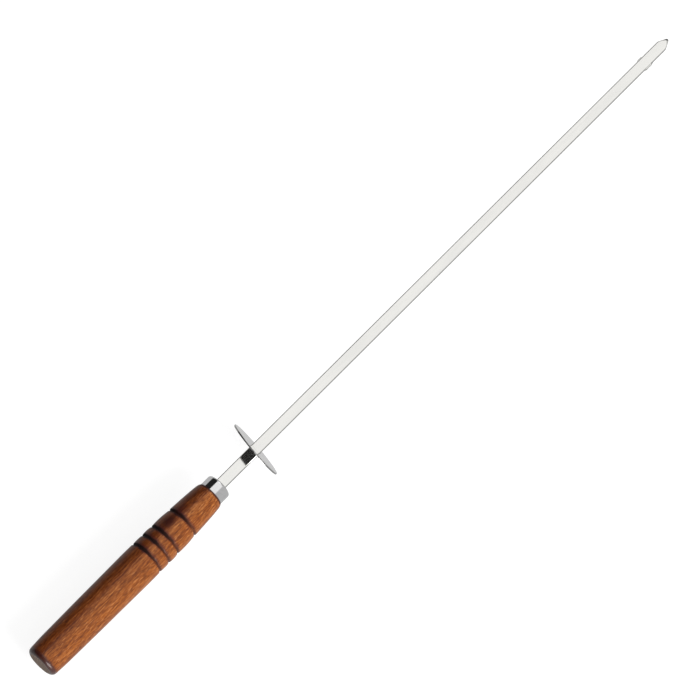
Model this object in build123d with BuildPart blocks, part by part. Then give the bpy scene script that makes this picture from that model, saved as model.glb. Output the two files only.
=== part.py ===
from build123d import *
import os
from math import cos, radians, sin, tan

# Flat-bladed grilling skewer with a loose push-off disc.
# Frame: millimetres. X runs along the skewer, from the flat butt of the handle
# (X = 0) to the point (+X). Z is square to the flat of the blade, Y runs across it.

# ---------------------------------------------------------------- dimensions
TOTAL_LENGTH = 457.2          # 18 in, butt to point

# blade: one drawn flat strip, whose rear end is the hidden tang
BLADE_WIDTH = 5.8
BLADE_THICK = 2.0
BLADE_EDGE_R = 0.55           # eased long edges
TANG_START_X = 52.0           # rear end of the tang inside the handle
POINT_HALF_ANGLE = 25.0       # between each flank of the point and the centreline
POINT_NOSE_R = 1.0
POINT_SHOULDER_R = 3.0
POINT_BEVEL_X = 452.9         # where the bevels that thin the nose begin on the flanks
POINT_BEVEL_HEADING = 50.0    # degrees, which way each bevel faces, from +X
POINT_BEVEL_TILT = 32.0       # degrees, how far each bevel leans from the flat
# stop ears: side, foot of the rear ramp, crest from and to, foot of the front ramp
STOP_EARS = ((1, 436.3, 437.6, 439.3, 440.5), (-1, 435.8, 437.4, 441.1, 441.9))
STOP_HEIGHT = 0.45            # how far each ear stands out of the strip's edge
STOP_THICK = 1.6

# push-off disc: flat stamped washer with a rectangular slot, hanging askew
DISC_DIAMETER = 31.4
DISC_THICK = 0.8
DISC_EDGE_R = 0.18
DISC_SLOT_WIDTH = 6.2
DISC_SLOT_HEIGHT = 2.9
DISC_SLOT_CORNER_R = 0.4
DISC_X = 149.9                # centre of the disc at rest
DISC_PITCH = 20.2             # degrees, +Z side leans back towards the handle
DISC_YAW = 7.2                # degrees, +Y side leans towards the point

# ferrule: short drawn cup pressed over the handle's spigot
FERRULE_X = 117.75
FERRULE_LENGTH = 6.6
FERRULE_DIAMETER = 13.5
FERRULE_WALL = 0.5
FERRULE_FRONT = 0.6
FERRULE_NOSE_R = 1.2
FERRULE_INNER_CORNER_R = 0.6
FERRULE_SLOT_GAP = 0.06       # slot clearance round the strip, each side

# handle: turned hardwood
BUTT_FLAT_R = 6.2
BUTT_EDGE_R = 2.4
SPIGOT_GAP = 0.3              # spigot stops short of the ferrule's front wall
SPIGOT_CHAMFER = 0.5
BORE_RADIUS = 3.25
BORE_BOTTOM_X = 47.0
BORE_CONE_DEPTH = 1.9
GROOVE_HALF_WIDTH = 0.80
GROOVE_BOTTOM_HALF = 0.25
GROOVE_X = (73.0, 79.3, 85.6, 97.8)
GROOVE_DEPTH = (0.62, 0.62, 0.70, 0.80)
# turned outline as (x, radius) stations, one row per stretch between grooves,
# with the radius at the lip of the groove before and after it
GRIP = ((7.3, 8.84), (16.0, 9.01), (30.5, 9.20), (50.0, 9.36), (66.0, 9.50))
GRIP_END_R = 9.43
BEAD_1 = (9.35, ((76.0, 9.47),), 9.33)
BEAD_2 = (9.33, ((82.5, 9.46),), 9.21)
BEAD_3 = (9.15, ((88.8, 9.26), (92.0, 9.21), (94.8, 9.00)), 8.72)
NECK_START_R = 8.75
NECK = ((101.3, 8.65), (105.3, 8.45), (109.3, 8.19), (113.3, 7.89), (115.4, 7.66))
SHOULDER = ((116.9, 7.33), (117.75, 6.88))

# adhesive filling the bore round the tang
ADHESIVE_END_GAP = 0.3        # stops short of the spigot's end

FERRULE_END_X = FERRULE_X + FERRULE_LENGTH
FERRULE_INNER_R = FERRULE_DIAMETER / 2 - FERRULE_WALL
SPIGOT_END_X = FERRULE_END_X - FERRULE_FRONT - SPIGOT_GAP
HALF_W = BLADE_WIDTH / 2
HALF_T = BLADE_THICK / 2
APEX_X = TOTAL_LENGTH + POINT_NOSE_R * (1 / sin(radians(POINT_HALF_ANGLE)) - 1)
SHOULDER_X = APEX_X - HALF_W / tan(radians(POINT_HALF_ANGLE))

# ---------------------------------------------------------------- blade
with BuildPart() as blade:
    with BuildSketch(Plane.XY) as outline:
        with BuildLine():
            Polyline(
                (TANG_START_X, -HALF_W),
                (SHOULDER_X, -HALF_W),
                (APEX_X, 0),
                (SHOULDER_X, HALF_W),
                (TANG_START_X, HALF_W),
                close=True,
            )
        make_face()
        # blunted nose and softened shoulders
        corners = outline.vertices().sort_by(Axis.X)
        fillet(corners[-1:], POINT_NOSE_R)
        corners = outline.vertices().sort_by(Axis.X)
        fillet([v for v in corners if abs(v.X - SHOULDER_X) < 0.01], POINT_SHOULDER_R)
    extrude(amount=HALF_T, both=True)
    # eased edges, along both sides and round the point
    rim = [
        e
        for e in blade.edges()
        if abs(abs(e.center().Z) - HALF_T) < 0.01 and e.center().X > TANG_START_X + 0.01
    ]
    fillet(rim, BLADE_EDGE_R)
    # bevels ground on both flats, which widen towards the nose
    heading, tilt = radians(POINT_BEVEL_HEADING), radians(POINT_BEVEL_TILT)
    bevel_y = (APEX_X - POINT_BEVEL_X) * tan(radians(POINT_HALF_ANGLE))
    for side in (1, -1):
        for flank in (1, -1):
            outward = Vector(
                sin(tilt) * cos(heading),
                flank * sin(tilt) * sin(heading),
                side * cos(tilt),
            )
            with BuildSketch(
                Plane(origin=(POINT_BEVEL_X, flank * bevel_y, side * HALF_T), z_dir=outward)
            ):
                Rectangle(30, 30)
            extrude(amount=4, mode=Mode.SUBTRACT)
    # stop ears squeezed out of both edges
    for flank, back, rise, fall, front in STOP_EARS:
        root = flank * (HALF_W - 0.4)
        foot = flank * (HALF_W - 0.02)
        crest = flank * (HALF_W + STOP_HEIGHT)
        with BuildSketch(Plane.XY):
            with BuildLine():
                Polyline((front, foot), (front, root), (back, root), (back, foot))
                Spline((back, foot), (rise, crest), tangents=((1, 0), (1, 0)))
                Line((rise, crest), (fall, crest))
                Spline((fall, crest), (front, foot), tangents=((1, 0), (1, 0)))
            make_face()
        extrude(amount=STOP_THICK / 2, both=True)

# ---------------------------------------------------------------- push-off disc
pitch, yaw = radians(DISC_PITCH), radians(DISC_YAW)
disc_normal = (cos(yaw) * cos(pitch), -sin(yaw), cos(yaw) * sin(pitch))
disc_across = (sin(yaw) * cos(pitch), cos(yaw), sin(yaw) * sin(pitch))
with BuildPart() as pusher_disc:
    with BuildSketch(Plane(origin=(DISC_X, 0, 0), x_dir=disc_across, z_dir=disc_normal)):
        Circle(DISC_DIAMETER / 2)
    extrude(amount=DISC_THICK / 2, both=True)
    fillet(pusher_disc.edges(), DISC_EDGE_R)
    with BuildSketch(Plane(origin=(DISC_X, 0, 0), x_dir=disc_across, z_dir=disc_normal)):
        RectangleRounded(DISC_SLOT_WIDTH, DISC_SLOT_HEIGHT, DISC_SLOT_CORNER_R)
    extrude(amount=DISC_THICK, both=True, mode=Mode.SUBTRACT)

# ---------------------------------------------------------------- ferrule
with BuildPart() as ferrule:
    r = FERRULE_DIAMETER / 2
    k = 0.5**0.5
    with BuildSketch(Plane.XY):
        with BuildLine():
            Polyline(
                (FERRULE_X, FERRULE_INNER_R),
                (FERRULE_X, r),
                (FERRULE_END_X - FERRULE_NOSE_R, r),
            )
            ThreePointArc(
                (FERRULE_END_X - FERRULE_NOSE_R, r),
                (
                    FERRULE_END_X - FERRULE_NOSE_R * (1 - k),
                    r - FERRULE_NOSE_R * (1 - k),
                ),
                (FERRULE_END_X, r - FERRULE_NOSE_R),
            )
            inner_x = FERRULE_END_X - FERRULE_FRONT
            c = FERRULE_INNER_CORNER_R
            Polyline(
                (FERRULE_END_X, r - FERRULE_NOSE_R),
                (FERRULE_END_X, 0),
                (inner_x, 0),
                (inner_x, FERRULE_INNER_R - c),
            )
            ThreePointArc(
                (inner_x, FERRULE_INNER_R - c),
                (inner_x - c * (1 - k), FERRULE_INNER_R - c * (1 - k)),
                (inner_x - c, FERRULE_INNER_R),
            )
            Line((inner_x - c, FERRULE_INNER_R), (FERRULE_X, FERRULE_INNER_R))
        make_face()
    revolve(axis=Axis.X)
    # slot that the strip passes through
    with BuildSketch(Plane.YZ.offset(FERRULE_END_X - 2.5)):
        RectangleRounded(
            BLADE_WIDTH + 2 * FERRULE_SLOT_GAP,
            BLADE_THICK + 2 * FERRULE_SLOT_GAP,
            BLADE_EDGE_R,
        )
    extrude(amount=4, mode=Mode.SUBTRACT)

# ---------------------------------------------------------------- handle
LIPS = (
    (GRIP_END_R, BEAD_1[0]),
    (BEAD_1[2], BEAD_2[0]),
    (BEAD_2[2], BEAD_3[0]),
    (BEAD_3[2], NECK_START_R),
)
with BuildPart() as handle:
    with BuildSketch(Plane.XY):
        with BuildLine():
            # butt face and its rounded edge
            butt_r = BUTT_FLAT_R + BUTT_EDGE_R
            Line((0, 0), (0, BUTT_FLAT_R))
            ThreePointArc(
                (0, BUTT_FLAT_R),
                (BUTT_EDGE_R * (1 - 0.5**0.5), BUTT_FLAT_R + BUTT_EDGE_R * 0.5**0.5),
                (BUTT_EDGE_R, butt_r),
            )
            # grip, then beads and neck, with a wire-burned groove between each
            stretches = (GRIP, BEAD_1[1], BEAD_2[1], BEAD_3[1], NECK)
            start = (BUTT_EDGE_R, butt_r)
            for i, stations in enumerate(stretches):
                if i < 4:
                    gx, depth = GROOVE_X[i], GROOVE_DEPTH[i]
                    lip_in, lip_out = LIPS[i]
                    end = (gx - GROOVE_HALF_WIDTH, lip_in)
                else:
                    end = SHOULDER[-1]
                    stations = stations + SHOULDER[:-1]
                if i == 0:
                    Spline(start, *stations, end, tangents=((1, 0.035), (1, -0.03)))
                elif i == 4:
                    Spline(start, *stations, end, tangents=((1, 0.0), (1, -0.75)))
                else:
                    Spline(start, *stations, end)
                if i < 4:
                    floor = (lip_in + lip_out) / 2 - depth
                    Line(end, (gx - GROOVE_BOTTOM_HALF, floor + 0.05))
                    ThreePointArc(
                        (gx - GROOVE_BOTTOM_HALF, floor + 0.05),
                        (gx, floor),
                        (gx + GROOVE_BOTTOM_HALF, floor + 0.05),
                    )
                    start = (gx + GROOVE_HALF_WIDTH, lip_out)
                    Line((gx + GROOVE_BOTTOM_HALF, floor + 0.05), start)
            # shoulder and spigot for the ferrule
            Polyline(
                SHOULDER[-1],
                (FERRULE_X, FERRULE_INNER_R),
                (SPIGOT_END_X - SPIGOT_CHAMFER, FERRULE_INNER_R),
                (SPIGOT_END_X, FERRULE_INNER_R - SPIGOT_CHAMFER),
                (SPIGOT_END_X, 0),
                (0, 0),
            )
        make_face()
    revolve(axis=Axis.X)
    # drilled bore for the tang
    with BuildSketch(Plane.XY):
        with BuildLine():
            Polyline(
                (BORE_BOTTOM_X, 0),
                (BORE_BOTTOM_X + BORE_CONE_DEPTH, BORE_RADIUS),
                (SPIGOT_END_X + 1, BORE_RADIUS),
                (SPIGOT_END_X + 1, 0),
                close=True,
            )
        make_face()
    revolve(axis=Axis.X, mode=Mode.SUBTRACT)

# ---------------------------------------------------------------- tang adhesive
with BuildPart() as tang_adhesive:
    with BuildSketch(Plane.XY):
        with BuildLine():
            Polyline(
                (BORE_BOTTOM_X, 0),
                (BORE_BOTTOM_X + BORE_CONE_DEPTH, BORE_RADIUS),
                (SPIGOT_END_X - ADHESIVE_END_GAP, BORE_RADIUS),
                (SPIGOT_END_X - ADHESIVE_END_GAP, 0),
                close=True,
            )
        make_face()
    revolve(axis=Axis.X)
    add(blade.part, mode=Mode.SUBTRACT)

# ---------------------------------------------------------------- output
os.makedirs("parts", exist_ok=True)
blade.part.label = "blade"
export_step(blade.part, "parts/blade.step")
pusher_disc.part.label = "pusher_disc"
export_step(pusher_disc.part, "parts/pusher_disc.step")
ferrule.part.label = "ferrule"
export_step(ferrule.part, "parts/ferrule.step")
handle.part.label = "handle"
export_step(handle.part, "parts/handle.step")
tang_adhesive.part.label = "tang_adhesive"
export_step(tang_adhesive.part, "parts/tang_adhesive.step")
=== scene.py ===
import math

import bpy
from mathutils import Matrix, Vector


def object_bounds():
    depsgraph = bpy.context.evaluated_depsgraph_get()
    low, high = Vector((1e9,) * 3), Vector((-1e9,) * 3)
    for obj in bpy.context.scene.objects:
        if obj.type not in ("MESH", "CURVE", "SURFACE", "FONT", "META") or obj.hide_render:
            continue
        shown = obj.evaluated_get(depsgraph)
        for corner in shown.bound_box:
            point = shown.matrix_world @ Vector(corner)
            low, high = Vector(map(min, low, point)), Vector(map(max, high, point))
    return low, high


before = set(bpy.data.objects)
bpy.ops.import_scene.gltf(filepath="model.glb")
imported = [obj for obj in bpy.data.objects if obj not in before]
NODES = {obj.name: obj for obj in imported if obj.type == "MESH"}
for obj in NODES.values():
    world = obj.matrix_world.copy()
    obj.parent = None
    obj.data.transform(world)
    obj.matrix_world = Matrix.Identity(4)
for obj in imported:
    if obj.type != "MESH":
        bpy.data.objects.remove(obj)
CAD_BOX = [list(c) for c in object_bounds()]
SCENE = bpy.context.scene

# ---------------------------------------------------------------- camera
ALPHA, ROLL = math.radians(18.0), math.radians(7.0)   # seen from the handle's end, and from the -Y side
TURN = math.radians(44.8254)                          # the skewer's slope in the frame
AIM = Vector((0.219906, 0.001981, 0.0))
DISTANCE = 2.0

look = Vector((math.sin(ALPHA) * math.cos(ROLL), math.sin(ROLL), -math.cos(ALPHA) * math.cos(ROLL)))
along = (Vector((1, 0, 0)) - look.x * look).normalized()
across = (-look).cross(along)
right = math.cos(TURN) * along - math.sin(TURN) * across
up = math.sin(TURN) * along + math.cos(TURN) * across

cam_data = bpy.data.cameras.new("camera")
cam_data.sensor_width = 36.0
cam_data.lens = 209.506
cam_data.clip_start, cam_data.clip_end = 0.05, 60.0
camera = bpy.data.objects.new("camera", cam_data)
SCENE.collection.objects.link(camera)
turned = Matrix((right, up, -look)).transposed().to_4x4()
turned.translation = AIM - DISTANCE * look
camera.matrix_world = turned
SCENE.camera = camera

SCENE.view_settings.view_transform = "Standard"
SCENE.view_settings.look = "None"


# ---------------------------------------------------------------- node helpers
class Graph:
    """Short hands for building one node tree."""

    def __init__(self, tree):
        self.tree = tree
        tree.nodes.clear()

    def node(self, kind, inputs=None, **settings):
        n = self.tree.nodes.new(kind)
        for key, value in settings.items():
            setattr(n, key, value)
        for key, value in (inputs or {}).items():
            self.feed(n.inputs[key], value)
        return n

    def feed(self, socket, value):
        if isinstance(value, bpy.types.NodeSocket):
            self.tree.links.new(value, socket)
        else:
            socket.default_value = value

    def maths(self, op, a, b=None, c=None, clamp=False):
        n = self.node("ShaderNodeMath", operation=op, use_clamp=clamp)
        for socket, value in zip(n.inputs, (a, b, c)):
            if value is not None:
                self.feed(socket, value)
        return n.outputs[0]

    def step(self, value, low, high, to_low=0.0, to_high=1.0, kind="SMOOTHSTEP"):
        n = self.node("ShaderNodeMapRange", interpolation_type=kind)
        self.feed(n.inputs["Value"], value)
        self.feed(n.inputs["From Min"], low)
        self.feed(n.inputs["From Max"], high)
        self.feed(n.inputs["To Min"], to_low)
        self.feed(n.inputs["To Max"], to_high)
        return n.outputs[0]

    def mix(self, factor, a, b, mode="MIX"):
        n = self.node("ShaderNodeMix", data_type="RGBA", blend_type=mode)
        n.clamp_factor = True
        self.feed(n.inputs[0], factor)
        for socket, value in ((n.inputs[6], a), (n.inputs[7], b)):
            self.feed(socket, value if isinstance(value, bpy.types.NodeSocket) else (*value, 1.0))
        return n.outputs[2]

    def ramp(self, factor, stops, ease="LINEAR"):
        n = self.node("ShaderNodeValToRGB")
        n.color_ramp.interpolation = ease
        while len(n.color_ramp.elements) < len(stops):
            n.color_ramp.elements.new(0.5)
        for e, (place, colour) in zip(n.color_ramp.elements, stops):
            e.position = place
            e.color = (*colour, 1.0)
        self.feed(n.inputs[0], factor)
        return n.outputs[0]

    def scaled(self, vector, x, y, z, shift=(0.0, 0.0, 0.0)):
        n = self.node("ShaderNodeMapping", vector_type="POINT")
        self.feed(n.inputs["Vector"], vector)
        n.inputs["Location"].default_value = shift
        n.inputs["Scale"].default_value = (x, y, z)
        return n.outputs[0]

    def noise(self, vector, detail=2.0, rough=0.5, distortion=0.0, scale=1.0):
        n = self.node("ShaderNodeTexNoise", noise_dimensions="3D")
        self.feed(n.inputs["Vector"], vector)
        n.inputs["Scale"].default_value = scale
        n.inputs["Detail"].default_value = detail
        n.inputs["Roughness"].default_value = rough
        n.inputs["Distortion"].default_value = distortion
        return n

    def vec(self, op, a, b=None):
        n = self.node("ShaderNodeVectorMath", operation=op)
        self.feed(n.inputs[0], a)
        if b is not None:
            self.feed(n.inputs[1], b)
        return n.outputs[0]

    def bump(self, height, distance, strength=1.0, normal=None):
        n = self.node("ShaderNodeBump")
        n.inputs["Strength"].default_value = strength
        n.inputs["Distance"].default_value = distance
        self.feed(n.inputs["Height"], height)
        if normal is not None:
            self.feed(n.inputs["Normal"], normal)
        return n.outputs[0]


def material(name):
    m = bpy.data.materials.new(name)
    m.use_nodes = True
    g = Graph(m.node_tree)
    out = g.node("ShaderNodeOutputMaterial")
    shader = g.node("ShaderNodeBsdfPrincipled")
    g.tree.links.new(shader.outputs[0], out.inputs["Surface"])
    place = g.node("ShaderNodeTexCoord").outputs["Object"]
    return m, g, shader, place


def put(obj, m):
    slots = obj.data.materials
    if len(slots) == 0:
        slots.append(m)
    for i in range(len(slots)):
        slots[i] = m


# ---------------------------------------------------------------- steel
def blade_steel():
    m, g, shader, place = material("ground_stainless")
    parts = g.node("ShaderNodeSeparateXYZ", {"Vector": place})
    x, y, z = parts.outputs["X"], parts.outputs["Y"], parts.outputs["Z"]
    # long grinding lines down the strip, and patches where it has been wiped
    fine = g.noise(g.scaled(place, 22.0, 5200.0, 5200.0), detail=3.0, rough=0.6).outputs["Fac"]
    wide = g.noise(g.scaled(place, 9.0, 900.0, 900.0), detail=2.0).outputs["Fac"]
    cloud = g.noise(g.scaled(place, 38.0, 160.0, 160.0), detail=4.0, rough=0.6, distortion=0.6).outputs["Fac"]
    lines = g.maths("ADD", g.maths("MULTIPLY", fine, 0.65), g.maths("MULTIPLY", wide, 0.35))
    tone = g.mix(g.step(cloud, 0.35, 0.70), (0.775, 0.768, 0.740), (0.735, 0.730, 0.706))
    tone = g.mix(g.maths("MULTIPLY", g.step(lines, 0.56, 0.70), 0.30), tone, (0.64, 0.635, 0.615))
    # the drawn edges are painted darker as painted dark reflection lines along them, the -Y edge darker still as
    # painted shade beneath it; both edges are also rougher
    nick = g.noise(g.scaled(place, 420.0, 900.0, 900.0, (2.0, 5.0, 1.0)), detail=3.0, rough=0.6).outputs["Fac"]
    jitter = g.maths("MULTIPLY", g.maths("SUBTRACT", nick, 0.5), 0.00022)
    low_ear = g.maths("MULTIPLY", g.step(x, 0.4362, 0.4374), g.step(x, 0.4416, 0.4412))
    high_ear = g.maths("MULTIPLY", g.step(x, 0.4366, 0.4376), g.step(x, 0.4400, 0.4393))
    low_y = g.maths("ADD", g.maths("ADD", y, jitter), g.maths("MULTIPLY", low_ear, 0.00045))
    high_y = g.maths("SUBTRACT", g.maths("ADD", y, jitter), g.maths("MULTIPLY", high_ear, 0.00040))
    low_edge_shade_and_rough = g.step(low_y, -0.00238, -0.00266)
    high_edge_reflection_and_rough = g.step(high_y, 0.00244, 0.00270)
    tone = g.mix(g.maths("MULTIPLY", low_edge_shade_and_rough, 0.85), tone, (0.430, 0.428, 0.410))
    tone = g.mix(g.maths("MULTIPLY", high_edge_reflection_and_rough, 0.60), tone, (0.600, 0.595, 0.575))
    # the squeezed ears and the hand-ground tip are darker in small marks
    crest = g.maths("MULTIPLY", g.maths("MULTIPLY", g.step(x, 0.4364, 0.4370), g.step(x, 0.4402, 0.4398)), g.step(g.maths("ADD", y, jitter), 0.00270, 0.00305))
    heel = g.maths("MULTIPLY", g.maths("MULTIPLY", g.step(x, 0.4408, 0.4411), g.step(x, 0.4421, 0.4418)), g.step(g.maths("ADD", y, jitter), -0.00240, -0.00265))
    tip_dark_mark = g.maths("MULTIPLY", g.step(g.maths("ADD", x, g.maths("MULTIPLY", jitter, 2.0)), 0.45575, 0.45625), g.step(y, -0.00055, -0.00020))
    tone = g.mix(g.maths("MULTIPLY", crest, 0.75), tone, (0.300, 0.298, 0.290))
    tone = g.mix(g.maths("MULTIPLY", heel, 0.85), tone, (0.160, 0.158, 0.150))
    tone = g.mix(g.maths("MULTIPLY", tip_dark_mark, 0.90), tone, (0.060, 0.060, 0.056))
    g.feed(shader.inputs["Base Color"], tone)
    shader.inputs["Metallic"].default_value = 1.0
    edge = g.maths("MAXIMUM", low_edge_shade_and_rough, high_edge_reflection_and_rough)
    rough = g.maths("ADD", g.step(cloud, 0.3, 0.75, 0.075, 0.125), g.step(lines, 0.45, 0.7, 0.0, 0.06))
    rough = g.maths("ADD", rough, g.maths("MULTIPLY", edge, 0.16))
    g.feed(shader.inputs["Roughness"], rough)
    g.feed(shader.inputs["Normal"], g.bump(lines, 0.0000018))
    return m


def disc_steel():
    m, g, shader, place = material("stamped_stainless")
    parts = g.node("ShaderNodeSeparateXYZ", {"Vector": place})
    x = g.maths("SUBTRACT", parts.outputs["X"], 0.1499)
    y, z = parts.outputs["Y"], parts.outputs["Z"]
    radius = g.maths("SQRT", g.maths("ADD", g.maths("ADD", g.maths("MULTIPLY", x, x), g.maths("MULTIPLY", y, y)), g.maths("MULTIPLY", z, z)))
    # rolled sheet: the mill's straight grain crosses the disc, and tumbling has left short soft marks
    mill = g.noise(g.scaled(place, 300.0, 260.0, 4200.0), detail=3.0, rough=0.55).outputs["Fac"]
    marks = g.noise(g.scaled(place, 900.0, 900.0, 900.0), detail=5.0, rough=0.7, distortion=1.2).outputs["Fac"]
    cloud = g.noise(g.scaled(place, 130.0, 130.0, 130.0), detail=3.0).outputs["Fac"]
    rim_shade_and_rough = g.step(g.maths("ADD", radius, g.maths("MULTIPLY", g.maths("SUBTRACT", marks, 0.5), 0.0001)), 0.01535, 0.01552)
    tone = g.mix(g.step(cloud, 0.3, 0.7), (0.90, 0.90, 0.89), (0.85, 0.85, 0.845))
    tone = g.mix(g.maths("MULTIPLY", g.step(marks, 0.60, 0.72), 0.25), tone, (0.66, 0.66, 0.655))
    # the sheared rim is painted darker than the faces as painted shade and dark reflection along it, and is a little
    # rougher
    tone = g.mix(g.maths("MULTIPLY", rim_shade_and_rough, 0.85), tone, g.mix(g.step(y, -0.0052, -0.0072), (0.30, 0.30, 0.295), (0.30, 0.30, 0.295)))
    g.feed(shader.inputs["Base Color"], tone)
    shader.inputs["Metallic"].default_value = 1.0
    rough = g.maths("ADD", g.step(marks, 0.35, 0.75, 0.08, 0.14), g.maths("MULTIPLY", rim_shade_and_rough, 0.02))
    g.feed(shader.inputs["Roughness"], rough)
    relief = g.maths("ADD", g.maths("MULTIPLY", mill, 0.6), g.maths("MULTIPLY", marks, 0.4))
    g.feed(shader.inputs["Normal"], g.bump(relief, 0.0000016))
    return m


def ferrule_steel():
    m, g, shader, place = material("drawn_bright_steel")
    parts = g.node("ShaderNodeSeparateXYZ", {"Vector": place})
    # draw lines run along the cup; a collet has left faint rings round it
    draw = g.noise(g.scaled(place, 130.0, 2600.0, 2600.0), detail=3.0).outputs["Fac"]
    rings = g.noise(g.scaled(place, 5200.0, 60.0, 60.0), detail=2.0).outputs["Fac"]
    cloud = g.noise(g.scaled(place, 260.0, 260.0, 260.0), detail=4.0, rough=0.6, distortion=0.5).outputs["Fac"]
    # painted shade on the back end of the cup, where it meets the wood
    back_join_shade = g.step(parts.outputs["X"], 0.11825, 0.11780)
    tone = g.mix(g.step(cloud, 0.35, 0.7), (0.72, 0.715, 0.715), (0.66, 0.655, 0.665))
    tone = g.mix(g.maths("MULTIPLY", back_join_shade, 0.45), tone, (0.36, 0.33, 0.31))
    g.feed(shader.inputs["Base Color"], tone)
    shader.inputs["Metallic"].default_value = 1.0
    lines = g.maths("ADD", g.maths("MULTIPLY", draw, 0.5), g.maths("MULTIPLY", rings, 0.5))
    g.feed(shader.inputs["Roughness"], g.maths("ADD", g.step(cloud, 0.3, 0.75, 0.07, 0.13), g.step(lines, 0.5, 0.75, 0.0, 0.05)))
    g.feed(shader.inputs["Normal"], g.bump(lines, 0.0000045))
    return m


# ---------------------------------------------------------------- wood
GROOVES = ((0.0730, 0.60), (0.0793, 0.55), (0.0856, 0.60), (0.0978, 0.30))   # place, burn on the -Y side


def handle_wood():
    m, g, shader, place = material("oiled_hardwood")
    parts = g.node("ShaderNodeSeparateXYZ", {"Vector": place})
    x, y, z = parts.outputs["X"], parts.outputs["Y"], parts.outputs["Z"]

    # the grain wanders slowly as it runs down the handle
    drift = g.noise(g.scaled(place, 9.0, 30.0, 30.0), detail=1.0).outputs["Color"]
    wander = g.vec("MULTIPLY", g.vec("SUBTRACT", drift, (0.5, 0.5, 0.5)), (0.0, 0.0022, 0.0022))
    ripple = g.noise(g.scaled(place, 120.0, 260.0, 260.0, (3.1, 0.0, 7.7)), detail=1.0).outputs["Color"]
    shake = g.vec("MULTIPLY", g.vec("SUBTRACT", ripple, (0.5, 0.5, 0.5)), (0.0, 0.00018, 0.00018))
    grain = g.vec("ADD", g.vec("ADD", place, wander), shake)

    figure = g.noise(g.scaled(grain, 10.0, 170.0, 170.0, (1.3, 2.2, 0.4)), detail=2.0, rough=0.5).outputs["Fac"]
    streak = g.noise(g.scaled(grain, 40.0, 700.0, 700.0), detail=3.0, rough=0.6).outputs["Fac"]
    dashes = g.noise(g.scaled(grain, 150.0, 1500.0, 1500.0, (7.0, 3.0, 2.0)), detail=2.0, rough=0.55).outputs["Fac"]
    fibre = g.noise(g.scaled(grain, 170.0, 3000.0, 3000.0), detail=3.0, rough=0.6).outputs["Fac"]
    pores = g.noise(g.scaled(grain, 210.0, 3000.0, 3000.0, (5.0, 1.0, 2.0)), detail=1.5, rough=0.5).outputs["Fac"]
    flecks = g.noise(g.scaled(grain, 210.0, 1250.0, 1250.0, (9.0, 4.0, 6.0)), detail=2.0, rough=0.6).outputs["Fac"]
    blotch = g.noise(g.scaled(place, 42.0, 90.0, 90.0, (2.0, 8.0, 1.0)), detail=3.0, rough=0.5).outputs["Fac"]

    def around(n, gain):
        return g.maths("MULTIPLY", g.maths("SUBTRACT", n, 0.5), gain)

    grit = g.noise(g.scaled(grain, 520.0, 1900.0, 1900.0, (6.0, 2.0, 8.0)), detail=2.0, rough=0.6).outputs["Fac"]
    level = g.maths("ADD", around(figure, 0.70), around(streak, 0.75))
    level = g.maths("ADD", level, around(dashes, 1.15))
    level = g.maths("ADD", level, around(fibre, 0.95))
    level = g.maths("ADD", level, around(grit, 0.95))
    level = g.maths("ADD", level, 0.5)
    body = g.ramp(level, [(0.0, (0.096, 0.0215, 0.0030)), (0.30, (0.196, 0.0480, 0.0062)), (0.50, (0.272, 0.0735, 0.0098)),
                          (0.70, (0.360, 0.1080, 0.0190)), (1.0, (0.550, 0.210, 0.0580))])
    body = g.mix(g.maths("MULTIPLY", g.step(flecks, 0.56, 0.68), 0.50), body, (0.580, 0.220, 0.0640))
    body = g.mix(g.maths("MULTIPLY", g.step(blotch, 0.52, 0.74), 0.26), body, (0.190, 0.036, 0.0080))
    body = g.mix(g.maths("MULTIPLY", g.step(pores, 0.60, 0.70), 0.62), body, (0.050, 0.0115, 0.0045))

    # the +Y side is painted darker and redder: partly the darker heartwood figure there, with a ragged edge that
    # follows the grain, and partly painted shade on the side turned away from the key light
    heart_shade_edge = g.noise(g.scaled(place, 30.0, 10.0, 10.0, (4.0, 0.0, 0.0)), detail=3.0, rough=0.6).outputs["Fac"]
    heart_figure_and_shade = g.step(g.maths("ADD", y, around(heart_shade_edge, 0.0030)), -0.0011, 0.0019)
    heart_figure_and_shade = g.maths("MULTIPLY", heart_figure_and_shade, g.step(g.maths("ADD", z, around(heart_shade_edge, 0.0040)), -0.0055, -0.0012))
    dark = g.mix(1.0, body, (0.62, 0.50, 0.46), "MULTIPLY")
    body = g.mix(heart_figure_and_shade, body, dark)

    # burned-in rings: charred at the bottom, stained red beside it, ragged where the grain took the heat
    ragged = g.maths("MULTIPLY", g.maths("SUBTRACT", g.noise(g.scaled(place, 260.0, 420.0, 420.0), detail=3.0).outputs["Fac"], 0.5), 0.0012)
    girth = g.noise(g.scaled(place, 60.0, 110.0, 110.0, (1.0, 3.0, 5.0)), detail=2.0).outputs["Fac"]
    spread = g.maths("ADD", g.step(y, -0.008, 0.004, -0.00028, 0.00030), g.maths("MULTIPLY", g.maths("SUBTRACT", girth, 0.5), 0.0011))
    char, halo = None, None
    for centre, faint in GROOVES:
        off = g.maths("ABSOLUTE", g.maths("SUBTRACT", g.maths("ADD", x, ragged), centre + 0.00008))
        c = g.maths("MULTIPLY", g.step(g.maths("SUBTRACT", off, spread), 0.00110, 0.00030), g.step(y, -0.0085, 0.0030, faint, 0.95))
        off = g.maths("ABSOLUTE", g.maths("SUBTRACT", g.maths("ADD", x, ragged), centre + 0.00035))
        h = g.step(g.maths("SUBTRACT", off, spread), 0.00215, 0.00070)
        char = c if char is None else g.maths("MAXIMUM", char, c)
        halo = h if halo is None else g.maths("MAXIMUM", halo, h)
    body = g.mix(g.maths("MULTIPLY", halo, g.step(y, -0.0085, 0.0010, 0.45, 0.72)), body, (0.072, 0.0120, 0.0105))
    body = g.mix(char, body, (0.0160, 0.0056, 0.0052))

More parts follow.
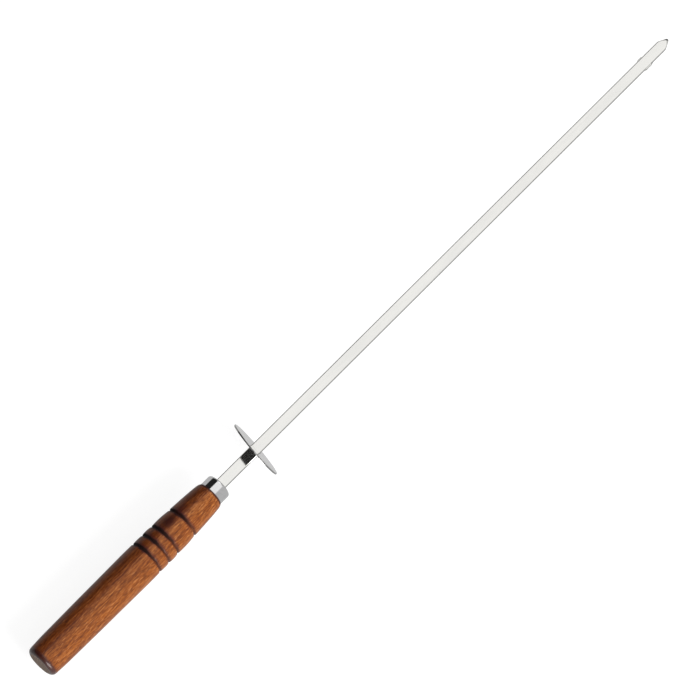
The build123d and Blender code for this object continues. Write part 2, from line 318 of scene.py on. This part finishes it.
    # a dark curl of heartwood on the bead before the last ring
    def spot(cx, cy, cz, sx, sr, low, high):
        p = g.vec("SUBTRACT", grain, (cx, cy, cz))
        p = g.vec("MULTIPLY", p, (1.0 / sx, 1.0 / sr, 1.0 / sr))
        n = g.node("ShaderNodeVectorMath", operation="LENGTH")
        g.feed(n.inputs[0], p)
        return g.step(n.outputs["Value"], high, low)

    curl = spot(0.0918, 0.0038, 0.0084, 0.0054, 0.0034, 0.30, 1.15)
    body = g.mix(g.maths("MULTIPLY", curl, 0.88), body, (0.046, 0.0066, 0.0046))
    curl2 = spot(0.1004, 0.0042, 0.0078, 0.0040, 0.0034, 0.15, 1.25)
    body = g.mix(g.maths("MULTIPLY", curl2, 0.70), body, (0.066, 0.0100, 0.0062))

    # end grain: the flat butt is pale and dry, the turned corner round it drank the stain
    rings = g.node("ShaderNodeTexWave", wave_type="RINGS", rings_direction="X", wave_profile="SIN")
    g.feed(rings.inputs["Vector"], g.scaled(place, 1.0, 1.0, 1.0, (0.0, 0.012, -0.004)))
    rings.inputs["Scale"].default_value = 210.0
    rings.inputs["Distortion"].default_value = 2.2
    rings.inputs["Detail"].default_value = 2.0
    rings.inputs["Detail Scale"].default_value = 1.2
    specks = g.noise(g.scaled(place, 900.0, 3600.0, 3600.0), detail=2.0, rough=0.6).outputs["Fac"]
    end = g.mix(rings.outputs["Fac"], (0.450, 0.335, 0.270), (0.550, 0.425, 0.350))
    end = g.mix(g.maths("MULTIPLY", g.step(specks, 0.55, 0.68), 0.6), end, (0.210, 0.140, 0.105))
    x_ragged = g.maths("ADD", x, g.maths("MULTIPLY", ragged, 0.9))
    corner = g.step(x_ragged, 0.0034, 0.0016)
    body = g.mix(g.maths("MULTIPLY", corner, 0.88), body, (0.042, 0.0085, 0.0085))
    span = g.maths("SQRT", g.maths("ADD", g.maths("MULTIPLY", y, y), g.maths("MULTIPLY", z, z)))
    span = g.maths("ADD", span, g.maths("MULTIPLY", ragged, 0.5))
    flat = g.maths("MULTIPLY", g.step(span, 0.00655, 0.00610), g.step(x, 0.0006, 0.0003))
    body = g.mix(flat, body, end)
    # painted shade in the gap where the wood meets the ferrule
    neck_gap_shade = g.step(g.maths("ADD", x, g.maths("MULTIPLY", ragged, 0.4)), 0.1163, 0.1172)
    body = g.mix(g.maths("MULTIPLY", neck_gap_shade, 0.88), body, (0.032, 0.0080, 0.0072))
    g.feed(shader.inputs["Base Color"], body)

    rough = g.maths("ADD", g.step(streak, 0.3, 0.7, 0.40, 0.52), g.maths("MULTIPLY", g.step(pores, 0.6, 0.72), 0.18))
    char_and_neck_gap = g.maths("MAXIMUM", char, g.maths("MULTIPLY", neck_gap_shade, 0.8))
    bare = g.maths("MAXIMUM", char_and_neck_gap, flat)
    rough = g.maths("ADD", rough, g.maths("MULTIPLY", bare, 0.36), clamp=True)
    g.feed(shader.inputs["Roughness"], rough)
    shader.inputs["IOR"].default_value = 1.45
    shader.inputs["Specular IOR Level"].default_value = 0.25
    g.feed(shader.inputs["Coat Weight"], g.maths("MULTIPLY", g.maths("SUBTRACT", 1.0, bare), g.step(corner, 0.2, 0.9, 0.30, 0.75)))
    shader.inputs["Coat Roughness"].default_value = 0.13
    shader.inputs["Coat IOR"].default_value = 1.35

    relief = g.maths("SUBTRACT", g.maths("MULTIPLY", fibre, 0.35), g.maths("MULTIPLY", g.step(pores, 0.60, 0.72), 0.9))
    relief = g.maths("ADD", relief, g.maths("MULTIPLY", streak, 0.5))
    g.feed(shader.inputs["Normal"], g.bump(relief, 0.00006, 0.8))
    return m


def resin():
    m, g, shader, place = material("tang_resin")
    cloud = g.noise(g.scaled(place, 240.0, 700.0, 700.0), detail=4.0, rough=0.6).outputs["Fac"]
    g.feed(shader.inputs["Base Color"], g.mix(g.step(cloud, 0.3, 0.7), (0.33, 0.20, 0.075), (0.45, 0.30, 0.13)))
    g.feed(shader.inputs["Roughness"], g.step(cloud, 0.3, 0.7, 0.28, 0.45))
    g.feed(shader.inputs["Normal"], g.bump(cloud, 0.00008, 0.7))
    return m


put(NODES["blade"], blade_steel())
put(NODES["pusher_disc"], disc_steel())
put(NODES["ferrule"], ferrule_steel())
put(NODES["handle"], handle_wood())
put(NODES["tang_adhesive"], resin())


# ---------------------------------------------------------------- floor, flags and light
def sheet_of(name, corners, m):
    mesh = bpy.data.meshes.new(name)
    mesh.from_pydata([tuple(c) for c in corners], [], [tuple(range(len(corners)))])
    mesh.update()
    o = bpy.data.objects.new(name, mesh)
    SCENE.collection.objects.link(o)
    mesh.materials.append(m)
    return o


FLOOR_Z = CAD_BOX[0][2] - 0.0002
floor_m, fg, fs, fplace = material("floor_paper")
tooth = fg.noise(fg.scaled(fplace, 60.0, 60.0, 60.0), detail=3.0).outputs["Fac"]
fg.feed(fs.inputs["Base Color"], fg.mix(tooth, (0.245, 0.245, 0.245), (0.260, 0.260, 0.260)))
fs.inputs["Roughness"].default_value = 1.0
fs.inputs["Specular IOR Level"].default_value = 0.0
fs.inputs["Emission Color"].default_value = (1.0, 1.0, 1.0, 1.0)
fs.inputs["Emission Strength"].default_value = 0.85
floor = sheet_of("floor", [(-12, -12, FLOOR_Z), (12, -12, FLOOR_Z), (12, 12, FLOOR_Z), (-12, 12, FLOOR_Z)], floor_m)
floor.visible_diffuse = False
floor.visible_glossy = False

# a black flag round the +Y side and the butt end, as a photographer would hang to give the steel its dark edges
flag_m, bg_, bs, bplace = material("flag_cloth")
weave = bg_.noise(bg_.scaled(bplace, 8.0, 8.0, 8.0), detail=2.0).outputs["Fac"]
bg_.feed(bs.inputs["Base Color"], bg_.mix(weave, (0.030, 0.030, 0.030), (0.038, 0.038, 0.038)))
bs.inputs["Roughness"].default_value = 1.0
bs.inputs["Specular IOR Level"].default_value = 0.0

FLAG_R = 6.0


def flag(name, az0, az1, el0, el1, rise=0.0, glossy=True, steps=36):
    verts, faces = [], []
    for i in range(steps + 1):
        deg = az0 + (az1 - az0) * i / steps
        az = math.radians(deg)
        top = el1 + rise * min(max((deg - 34.0) / 22.0, 0.0), 1.0) + 7.0 * min(max((deg - 85.0) / 20.0, 0.0), 1.0)
        foot = el0 - 11.0 * min(max((deg - 80.0) / 10.0, 0.0), 1.0)
        for el in (foot, top):
            verts.append((0.2 + FLAG_R * math.cos(az), FLAG_R * math.sin(az), FLAG_R * math.tan(math.radians(el))))
    for i in range(steps):
        faces.append((2 * i, 2 * i + 1, 2 * i + 3, 2 * i + 2))
    mesh = bpy.data.meshes.new(name)
    mesh.from_pydata(verts, [], faces)
    mesh.update()
    o = bpy.data.objects.new(name, mesh)
    SCENE.collection.objects.link(o)
    mesh.materials.append(flag_m)
    o.visible_camera = False
    o.visible_glossy = glossy
    return o


flag("flag_side", -20.0, 200.0, 6.0, 21.0, 37.0)
flag("flag_low", 30.0, 200.0, -72.0, 6.0, glossy=False)

world = bpy.data.worlds.new("studio")
SCENE.world = world
world.use_nodes = True
w = Graph(world.node_tree)
w_out = w.node("ShaderNodeOutputWorld")
w_bg = w.node("ShaderNodeBackground")
w.tree.links.new(w_bg.outputs[0], w_out.inputs["Surface"])
direction = w.node("ShaderNodeTexCoord").outputs["Generated"]
w_parts = w.node("ShaderNodeSeparateXYZ", {"Vector": direction})
height = w_parts.outputs["Z"]
level = w.step(height, 0.78, 0.86, 0.60, 1.10)
w.feed(w_bg.inputs["Color"], (1.0, 1.0, 1.0, 1.0))
w.feed(w_bg.inputs["Strength"], level)


def area(name, place, target, size, power, glossy, diffuse=True):
    data = bpy.data.lights.new(name, "AREA")
    data.shape = "SQUARE"
    data.size = size
    data.energy = power
    o = bpy.data.objects.new(name, data)
    SCENE.collection.objects.link(o)
    o.location = place
    o.rotation_mode = "QUATERNION"
    o.rotation_quaternion = (Vector(target) - Vector(place)).to_track_quat("-Z", "Y")
    o.visible_camera = False
    o.visible_glossy = glossy
    o.visible_diffuse = diffuse
    return o


# a soft window's gleam on the lacquered corner of the butt
area("gleam", (-2.18, -1.97, 0.75), (0.0, 0.0, 0.0), 2.0, 125.0, True, False)
# and a smaller one on the ferrule's rounded nose
area("nose_gleam", (2.35, 0.39, 1.97), (0.12, 0.0, 0.0), 1.2, 7.0, True, False)
area("key", (0.1, -3.5, 2.5), (0.2, 0.0, 0.0), 2.2, 168.0, False)
